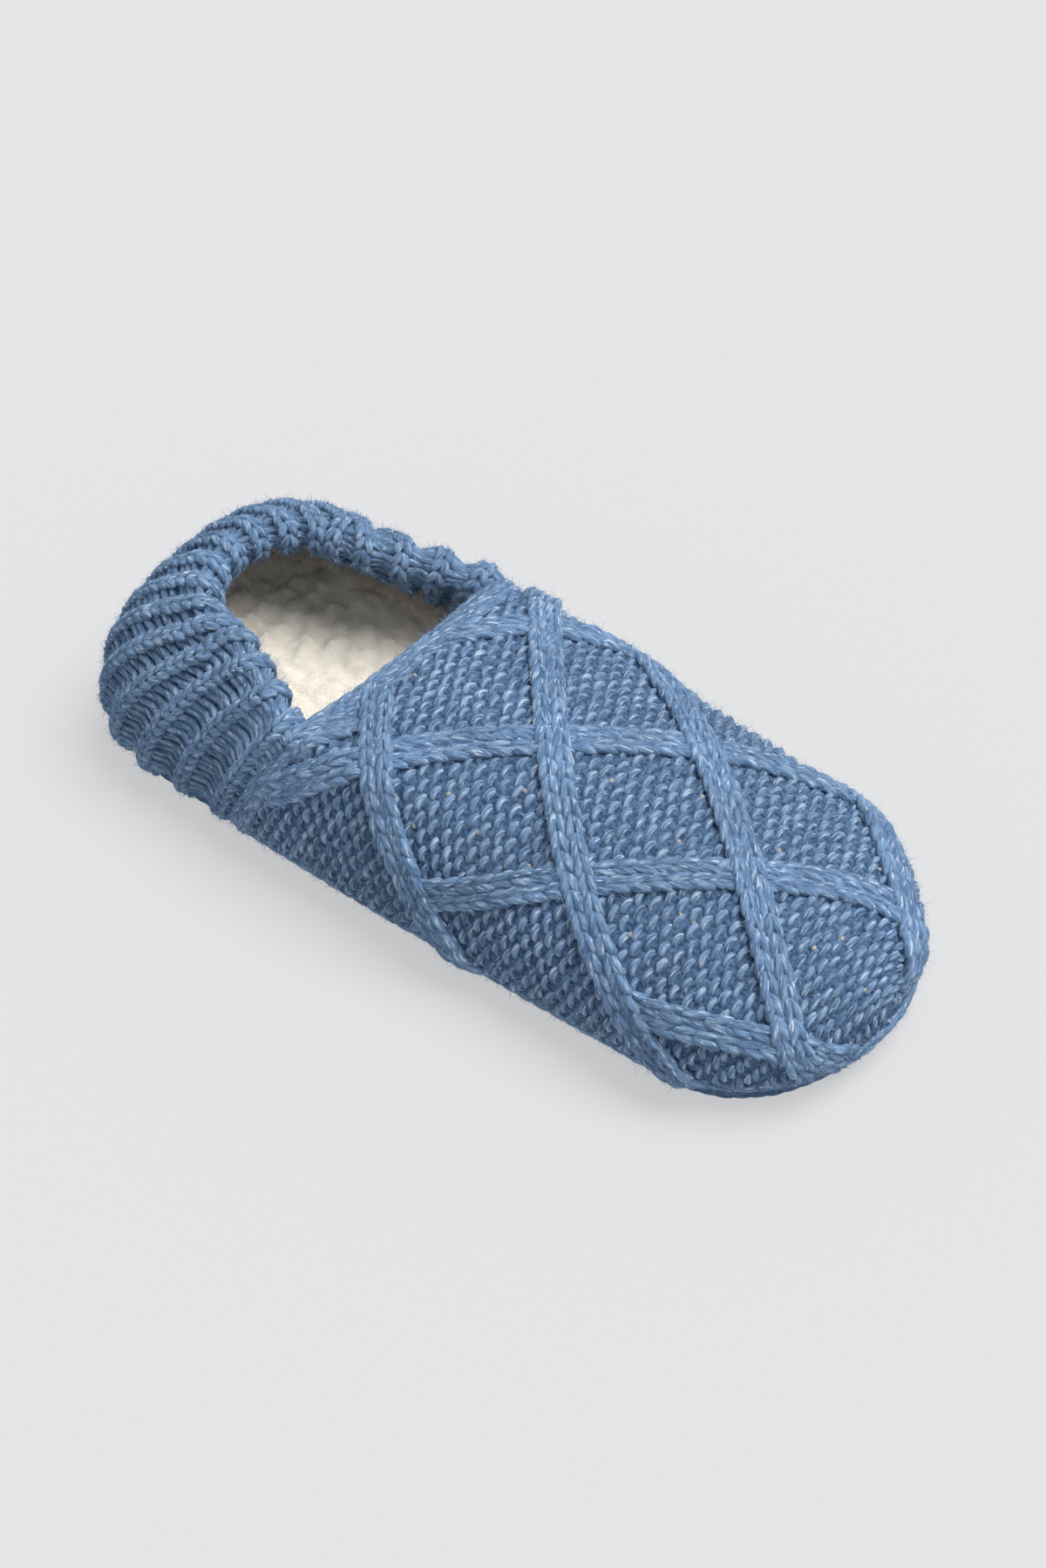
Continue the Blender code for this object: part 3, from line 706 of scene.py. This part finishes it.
def build_bands():
    """Two columns of chain stitches and a flat core for each band."""
    yarns, cores = Yarns(), Yarns()
    for row in BANDS:
        band = dict(zip(BAND_COLUMNS, row))
        along = np.linspace(band["first"], min(band["last"], 0.997), 300)
        ahead = along - 0.5 - band["crossing"]
        ribbon = Ribbon(*trace(along, (band["slope"] * ahead + band["bend"] * ahead ** 2) * LENGTH))
        lifted = OVER_LIFT if band["over"] else UNDER_LIFT
        for middle in (-BAND_SPREAD, BAND_SPREAD):
            chain(yarns, ribbon, BAND_STITCH, BAND_STITCH, 0.75 + lifted, BAND_YARN, rise=1.15, lean=1.42,
                  middle=middle, phase=0.35 * (middle > 0), droop=0.12, dip=BAND_DIP)
        distance = np.linspace(0, ribbon.length, 60)
        path, normal = ribbon.at(distance, np.zeros(60), lifted - 0.6 - ribbon.dip(distance, BAND_DIP))
        cores.add(path, normal, BAND_CORE, sides=10, flat=0.42)
    top = yarns.make("lattice_bands", band_yarn, "lattice_knit")
    core = cores.make("band_cores", lattice_yarn, "lattice_knit")
    return (top, core), yarns


# The cuff

def heel_radius(angle, half, back):
    side_part = (np.abs(np.sin(angle)) / half) ** HEEL_ROUNDNESS
    back_part = (np.abs(np.cos(angle)) / back) ** HEEL_ROUNDNESS
    return (side_part + back_part) ** (-1 / HEEL_ROUNDNESS)


def cuff_slice(place, size, fold):
    """The cuff's skin in one upright slice, from the sole over the rim to the inner hem.

    size is how far the skin stands off the middle of the quarter wall, on both sides of it, and fold is the
    share of the wall's line that it covers inside.
    """
    side = -1 if place < 0 else 1
    name = "lateral" if place < 0 else "medial"
    half = float(column(HEEL_CENTRE, name)) * BALL_WIDTH
    back = HEEL_CENTRE * LENGTH
    forward = min(max((abs(place) - HEEL_TURN_SHARE) / (1 - HEEL_TURN_SHARE), 0), 1)
    angle = min(abs(place) / HEEL_TURN_SHARE, 1) * math.pi / 2
    if forward > 0:
        half = float(column(HEEL_CENTRE + (THROAT - HEEL_CENTRE) * forward, name)) * BALL_WIDTH
        radius = half
        rim = half - RIM_INSET_SIDE - (RIM_INSET_THROAT - RIM_INSET_SIDE) * forward ** RIM_SWEEP
    else:
        radius = float(heel_radius(angle, half, back))
        rim_half, rim_back = half - RIM_INSET_SIDE, back - RIM_INSET_BACK
        rim = 1 / math.hypot(math.sin(angle) / rim_half, math.cos(angle) / rim_back)
    top = COLLAR_HEIGHT - CUFF_STACK - RIM_DROP_THROAT * forward ** RIM_FALL
    base = radius - CUFF_STACK
    lean_in = base - rim

    # the wall's line, with its lean
    share = np.linspace(-1, 1, 81)
    low_r, low_z = side_point(np.minimum(share, 0), base, 0, top)
    up = np.maximum(share, 0)
    r = np.where(share > 0, base - lean_in * up ** CUFF_FULLNESS, low_r)
    z = np.where(share > 0, WIDEST_HEIGHT + (top - WIDEST_HEIGHT) * up, low_z)
    slope = lean_in * CUFF_FULLNESS * up ** (CUFF_FULLNESS - 1)
    lean = np.where(share > 0, np.arctan2(slope, top - WIDEST_HEIGHT), 0)

    # up its outside, half round the rim and down its inside
    outer = np.stack([r + size * np.cos(lean), z + size * np.sin(lean)], -1)
    turn = np.linspace(0, math.pi, 17)[1:-1]
    ahead, out = np.sin(turn) * size, np.cos(turn) * size
    last = lean[-1]
    rim_line = np.stack([r[-1] + out * math.cos(last) - ahead * math.sin(last),
                         z[-1] + out * math.sin(last) + ahead * math.cos(last)], -1)
    down = slice(len(r) - 1, int(len(r) * (1 - fold)), -1)
    inner = np.stack([r[down] - size * np.cos(lean[down]), z[down] - size * np.sin(lean[down])], -1)
    line = np.concatenate([outer, rim_line, inner])

    # even spacing on either side of the rim, so that courses run level round the heel
    length = distances(line)
    rim_at = length[len(outer) + len(rim_line) // 2]
    below = int(CUFF_LEVELS * RIM_LEVEL)
    goal = np.concatenate([np.linspace(0, rim_at, below, endpoint=False),
                           np.linspace(rim_at, length[-1], CUFF_LEVELS - below)])
    radius_line, height = (np.interp(goal, length, line[:, k]) for k in (0, 1))
    centre = float(along_to_x(HEEL_CENTRE))
    x = centre - radius_line * math.cos(angle) + (seam_x(height, side) + SEAM_COVER - centre) * forward
    y = side * radius_line * math.sin(angle)
    return np.stack([x, y, height], -1)


def skin_normal(points):
    """Outward normals of slices of the cuff's skin."""
    return unit(np.cross(np.gradient(points, axis=1), np.gradient(points, axis=0)))


def distance_round(points):
    """How far round the cuff each point lies from the back of the heel, at its level."""
    steps = np.linalg.norm(np.diff(points, axis=0), axis=-1)
    total = np.concatenate([np.zeros((1, CUFF_LEVELS)), np.cumsum(steps, axis=0)])
    return total - total[[len(CUFF_PLACES) // 2]]


CUFF_POINTS = np.stack([cuff_slice(place, CUFF_STACK - 1.0, HEM_FOLD) for place in CUFF_PLACES])
CUFF_NORMAL = skin_normal(CUFF_POINTS)
CUFF_ROUND = distance_round(CUFF_POINTS)


def raked(place, level):
    """The place that a rib keeps at a level: low down the ribs are drawn to the back of the heel."""
    level = np.clip(level, 0, RIM_LEVEL)
    place = place - RAKE_BACK * np.sin(math.pi * place) * (1 - level / RIM_LEVEL)
    out = np.empty(place.shape)
    nearest = np.rint(level * (CUFF_LEVELS - 1)).astype(int)
    for j in np.unique(nearest):
        here = nearest == j
        table = CUFF_ROUND[:, j]
        goal = np.where(place[here] < 0, -table[0], table[-1]) * place[here]
        even = np.interp(goal, table, CUFF_PLACES)
        out[here] = even * RAKE_SHARE + place[here] * (1 - RAKE_SHARE)
    return out


def cuff_at(place, level, height):
    """Points on the cuff and their normals: place -1 to 1 round it, level 0 to 1 from the sole to the hem."""
    place, level, height = np.broadcast_arrays(place, level, height)
    i = np.clip((raked(place, level) + 1) / 2, 0, 1) * (len(CUFF_PLACES) - 1)
    j = np.clip(level, 0, 1) * (CUFF_LEVELS - 1)
    i0, j0 = np.minimum(i.astype(int), len(CUFF_PLACES) - 2), np.minimum(j.astype(int), CUFF_LEVELS - 2)
    a, b = (i - i0)[..., None], (j - j0)[..., None]

    def pick(table):
        low = table[i0, j0] * (1 - b) + table[i0, j0 + 1] * b
        high = table[i0 + 1, j0] * (1 - b) + table[i0 + 1, j0 + 1] * b
        return low * (1 - a) + high * a

    normal = unit(pick(CUFF_NORMAL))
    return pick(CUFF_POINTS) + normal * height[..., None], normal


def rib_relief(place):
    """Height of the cuff at a place round it: a narrow ridge in the middle of each rib, low between."""
    phase = ((place + 1) / 2 * RIB_COUNT) % 1.0
    ridge = np.cos((phase - 0.5) * 2 * math.pi) * 0.5 + 0.5
    return -CHANNEL_DEPTH + RIDGE_RISE * ridge ** 0.9


def knit_bars():
    """Bars that cross the channels from ridge to ridge, and dive under the ridges."""
    yarns = Yarns()
    s = np.linspace(0.08, 0.92, 9)
    dive = np.abs(2 * s - 1) ** 3
    for rib in range(-1, RIB_COUNT):
        for course in range(CUFF_COURSES):
            place = -1 + 2 * (rib + 0.5 + s + rng.uniform(-0.03, 0.03)) / RIB_COUNT
            keep = np.abs(place) <= 1
            tilt = rng.uniform(0.1, 0.7) * (s - 0.5)
            level = (course + 0.5 + tilt + rng.uniform(-0.18, 0.18)) / CUFF_COURSES
            height = rib_relief(place) + 0.1 - 1.3 * dive + rng.uniform(-0.2, 0.2)
            path, normal = cuff_at(place, level, height)
            yarns.add(path[keep], normal[keep], BAR_YARN * rng.uniform(0.9, 1.1))
    return yarns


def knit_ridges():
    """A chain down the middle of each rib, and two along the hem."""
    yarns = Yarns()
    for rib in range(RIB_COUNT):
        place = -1 + 2 * (rib + 0.5) / RIB_COUNT
        line = cuff_at(place, np.linspace(0.0, 0.975, 200), 0.9)
        chain(yarns, Ribbon(*line), 6.3, 3.78, 0.35, RIDGE_YARN, rise=0.5, lean=1.35, samples=7)
    place = np.linspace(-1, 1, 500)
    for level, radius in HEM_CHAINS:
        line = cuff_at(place, level, 0.6 * rib_relief(place) - 0.3)
        chain(yarns, Ribbon(*line), 3.4, 3.9, 0.1, radius, rise=0.6, lean=1.5, samples=7)
    return yarns


def build_cuff():
    places, levels = np.linspace(-1, 1, RIB_COUNT * 12 + 1), np.linspace(0, 1, CUFF_LEVELS)
    place, level = np.meshgrid(places, levels, indexing="ij")
    points, _ = cuff_at(place, level, rib_relief(place))
    under = make_piece("cuff_under", points.reshape(-1, 3), grid_faces(*place.shape), under_knit)
    bars = knit_bars()
    bar_piece = bars.make("cuff_bars", rib_yarn, "rib_knit")
    ridges = knit_ridges()
    ridge_piece = ridges.make("cuff_ridges", rib_yarn, "rib_knit")
    return (under, bar_piece, ridge_piece), (bars, ridges)


# The edges and the sole

def outline(inset, sole=False):
    """Flat outline, inset inside the upper's widest one or the sole's, from the back by the lateral side."""
    sides = []
    for name, side in (("lateral", -1), ("medial", 1)):

        def depth(along):
            return inset + (column(along, "sole_" + name) * BALL_WIDTH if sole else 0 * np.asarray(along))

        half = column(HEEL_CENTRE, name) * BALL_WIDTH - depth(HEEL_CENTRE)
        back = HEEL_CENTRE * LENGTH - depth(0.0)
        angle = np.linspace(0, math.pi / 2, 60, endpoint=False)
        radius = heel_radius(angle, half, back)
        heel = np.stack([along_to_x(HEEL_CENTRE) - radius * np.cos(angle), side * radius * np.sin(angle)], -1)
        along = np.linspace(HEEL_CENTRE, TOE_START, 120, endpoint=False)
        body = np.stack([along_to_x(along), side * (column(along, name) * BALL_WIDTH - depth(along))], -1)
        along = TOE_START + (1 - TOE_START) * np.sin(np.linspace(0, math.pi / 2, 50))
        y = (column(along, name) * BALL_WIDTH - depth(along)) * toe_closing(along, TOE_ROUNDNESS)
        toe = np.stack([along_to_x(along, depth(1.0)), side * y], -1)
        sides.append(np.concatenate([heel, body, toe]))
    return np.concatenate([sides[0], sides[1][-2:0:-1]])


def build_vamp_edges():
    """Chains of stitches along the throat, down the seams and above the sole."""
    yarns = Yarns()
    throat = np.linspace(-1.03, 1.03, 160)
    for setback, lift, radius in THROAT_CHAINS:
        line = vamp_frame(rear_along(throat, setback), throat)
        chain(yarns, Ribbon(*line), 3.9, 5.2, lift, radius, rise=0.8, lean=1.7)
    for side in (-1, 1):
        seam = side * np.linspace(0.98, 1.98, 120)
        for setback, lift, radius in SEAM_CHAINS:
            line = vamp_frame(rear_along(seam, setback), seam)
            chain(yarns, Ribbon(*line), 4.2, 4.8, lift, radius, rise=0.8, lean=1.7)

    # the welt, from the lateral seam round the toe to the medial one
    turn = np.sin(np.linspace(0, 0.9995 * math.pi / 2, 220))
    halves = []
    for place in (-WELT_PLACE, WELT_PLACE):
        start = float(rear_along(np.array([place]), 1.5)[0])
        halves.append(vamp_frame(start + (1 - start) * turn, np.full(220, place)))
    line = (np.concatenate([lateral, medial[::-1]]) for lateral, medial in zip(*halves))
    chain(yarns, Ribbon(*line), 4.4, 5.2, 0.1, 1.4, rise=0.6, lean=1.7, samples=8)
    return yarns.make("vamp_edges", band_yarn, "lattice_knit"), yarns


def build_sole_chains():
    yarns = Yarns()
    for height, inset, radius in SOLE_CHAINS:
        ring = outline(inset, sole=True)
        x, y = np.concatenate([ring, ring[:3]]).T
        points = np.stack([x, y, height + toe_lift(x)], -1)
        normal = unit(np.cross(unit(np.gradient(points, axis=0)), np.array([0, 0, 1.0])))
        chain(yarns, Ribbon(points, normal), 3.6, 4.6, -0.3, radius, rise=0.6, lean=1.7, samples=7)
    yarns.make("sole_chains", sole_yarn, "sole_knit")


# Fleece

def curl_height(points):
    """Height of the curls of fleece at points, in mm: lumps with a finer curl on them."""
    out = np.empty(len(points))
    for k, point in enumerate(points):
        v = Vector(point) / CURL_SIZE
        wobble = noise.noise_vector(v * 0.9) * 0.55
        lumps = noise.voronoi(v + wobble)[0]
        fine = noise.noise(v * 2.6) + 0.5 * noise.noise(v * 5.1)
        out[k] = 1.0 - min(lumps[0] * 1.25, 1.3) + 0.22 * fine
    return out


def fleece_piece(name, points, normal, faces, rise):
    """Fleece over a grid of points, with curls that stand up along the normals by up to about rise."""
    flat, up = points.reshape(-1, 3), normal.reshape(-1, 3)
    height = curl_height(flat)
    return make_piece(name, flat + up * (height * np.ravel(rise))[:, None], faces, fleece)


def build_footbed():
    ring = outline(CUFF_STACK + QUARTER_WALL / 2 + TUCK + GAP - FOOTBED_OVERLAP)
    tip = int(np.argmax(ring[:, 0]))
    near, far = ring[:tip + 1], np.concatenate([ring[tip:], ring[:1]])[::-1]
    rows, columns = 170, 70
    middle, half = (ring[:, 0].max() + ring[:, 0].min()) / 2, np.ptp(ring[:, 0]) / 2
    end = np.sin(np.linspace(-0.985, 0.985, rows) * math.pi / 2)
    along_x = middle + half * end
    low, high = np.interp(along_x, near[:, 0], near[:, 1]), np.interp(along_x, far[:, 0], far[:, 1])
    share = np.linspace(0, 1, columns)
    x = np.broadcast_to(along_x[:, None], (rows, columns))
    y = low[:, None] + (high - low)[:, None] * share
    edge = np.maximum(np.abs(2 * share - 1)[None, :] ** 4, np.abs(end)[:, None] ** 14)
    points = np.stack([x, y, FOOTBED_HEIGHT + FOOTBED_RISE * edge + toe_lift(x)], -1)
    normal = np.zeros_like(points)
    normal[..., 2] = 1
    return fleece_piece("footbed_fleece", points, normal, grid_faces(rows, columns), 3.6)


def build_vamp_fleece():
    """The fleece behind the vamp; down its sides it reaches further back, behind the cuff."""
    rows, columns = 110, 170
    setback = 1.0 - 8.0 * np.clip((np.abs(np.linspace(-2, 2, columns)) - 1.0) / 0.25, 0, 1)
    points, normal = vamp_grid(rows, columns, depth=4.4, setback=setback, end=6)
    return fleece_piece("vamp_fleece", points, -normal, grid_faces(rows, columns)[:, ::-1], 2.4)


def build_heel_fleece():
    """The fleece behind the cuff. The pile lies back under the fold and stands out below it."""
    share = np.clip((np.arange(PILE_LEVELS) - 33) / 9, 0, 1)[:, None]
    slices = []
    for place in np.linspace(-1, 1, 260):
        deep, shallow = (cuff_slice(place, -size, 0.999)[:PILE_LEVELS] for size in (PILE_DEEP, PILE_SHALLOW))
        slices.append(deep * (1 - share) + shallow * share)
    points = np.stack(slices)
    rise = np.broadcast_to(3.0 - 2.7 * share[:, 0], points.shape[:2])
    return fleece_piece("heel_fleece", points, -skin_normal(points), grid_faces(*points.shape[:2]), rise)


# Nap

def build_nap(name, yarns, count, long, material, slot):
    """Loose fibres that stand off the yarn, each a thin curved strip."""
    parts = [each.skin() for each in yarns]
    points, outward, tangent, normal = (np.concatenate([part[k] for part in parts]) for k in range(4))
    open_side = np.flatnonzero((outward * normal).sum(1) > 0.15)
    pick = rng.choice(open_side, count)
    start, out, run = points[pick], outward[pick], tangent[pick]
    loose = unit(rng.normal(size=(count, 3)))
    first = unit(out * 0.45 + run * rng.choice([-1, 1], (count, 1)) * 0.7 + loose * 0.55)
    bend = unit(rng.normal(size=(count, 3)) + out * 0.3)
    length = long * rng.uniform(0.45, 1.25, count)
    strip = []
    for s in (0, 0.5, 1.0):
        centre = start - out * 0.15 + first * (length * s)[:, None] + bend * (length * 0.45 * s ** 2)[:, None]
        side = unit(np.cross(first, bend)) * (NAP_WIDTH * (1 - 0.6 * s) / 2)
        strip.append(np.stack([centre - side, centre + side], 1))
    points = np.stack(strip, 1).reshape(count, 6, 3)
    quads = np.array([[2 * k, 2 * k + 1, 2 * k + 3, 2 * k + 2] for k in range(2)])
    faces = (quads[None] + 6 * np.arange(count)[:, None, None]).reshape(-1, 4)
    return make_piece(name, points.reshape(-1, 3), faces, material)


# Floor, light and camera

def build_floor():
    bpy.ops.mesh.primitive_plane_add(size=8, location=(0, 0, 0))
    floor = bpy.context.object
    floor.name = "floor"
    material = bpy.data.materials.new("floor_pale")
    _, shader = nodes_of(material)
    fill(shader, {"Base Color": (0.178, 0.179, 0.182, 1), "Emission Color": (0.985, 0.992, 1.0, 1),
                  "Emission Strength": 0.53, "Roughness": 0.9, "Specular IOR Level": 0.1})
    floor.data.materials.append(material)


def build_light():
    world = bpy.context.scene.world or bpy.data.worlds.new("studio")
    bpy.context.scene.world = world
    world.use_nodes = True
    fill(world.node_tree.nodes["Background"], {"Color": (0.975, 0.985, 1.0, 1), "Strength": 0.40})
    key = bpy.data.lights.new("key", "SUN")
    key.energy = 3.45
    key.angle = math.radians(42)
    lamp = bpy.data.objects.new("key", key)
    lamp.rotation_euler = (-SUN_FROM).to_track_quat("-Z", "Y").to_euler()
    bpy.context.scene.collection.objects.link(lamp)


def build_camera():
    data = bpy.data.cameras.new("camera")
    data.sensor_width = 36
    data.lens = CAMERA_LENS
    data.clip_start = 0.05
    camera = bpy.data.objects.new("camera", data)
    camera.location = CAMERA_PLACE
    camera.rotation_euler = (CAMERA_AIM - CAMERA_PLACE).to_track_quat("-Z", "Y").to_euler()
    bpy.context.scene.collection.objects.link(camera)
    bpy.context.scene.camera = camera
    bpy.context.scene.view_settings.view_transform = "Standard"


# The scene, in the order of its random draws

ground, ground_yarns = build_ground()
under = build_under_skin()
bands, band_yarns = build_bands()
cuff, cuff_yarns = build_cuff()
edges, edge_yarns = build_vamp_edges()
build_sole_chains()
footbed = build_footbed()
vamp_fleece = build_vamp_fleece()
heel_fleece = build_heel_fleece()
nap_vamp = build_nap("vamp_nap", [*ground_yarns, band_yarns, edge_yarns], *VAMP_NAP, nap_blue, "lattice_knit")
nap_cuff = build_nap("cuff_nap", cuff_yarns, *CUFF_NAP, nap_rib, "rib_knit")
for piece in (*ground, under, *bands, edges, nap_vamp, vamp_fleece):
    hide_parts("upper")
for piece in (*cuff, nap_cuff, heel_fleece):
    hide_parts("heel_cuff")
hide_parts("insole")
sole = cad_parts["outsole"]
sole.data.materials.clear()
sole.data.materials.append(under_knit)
build_floor()
build_light()
build_camera()
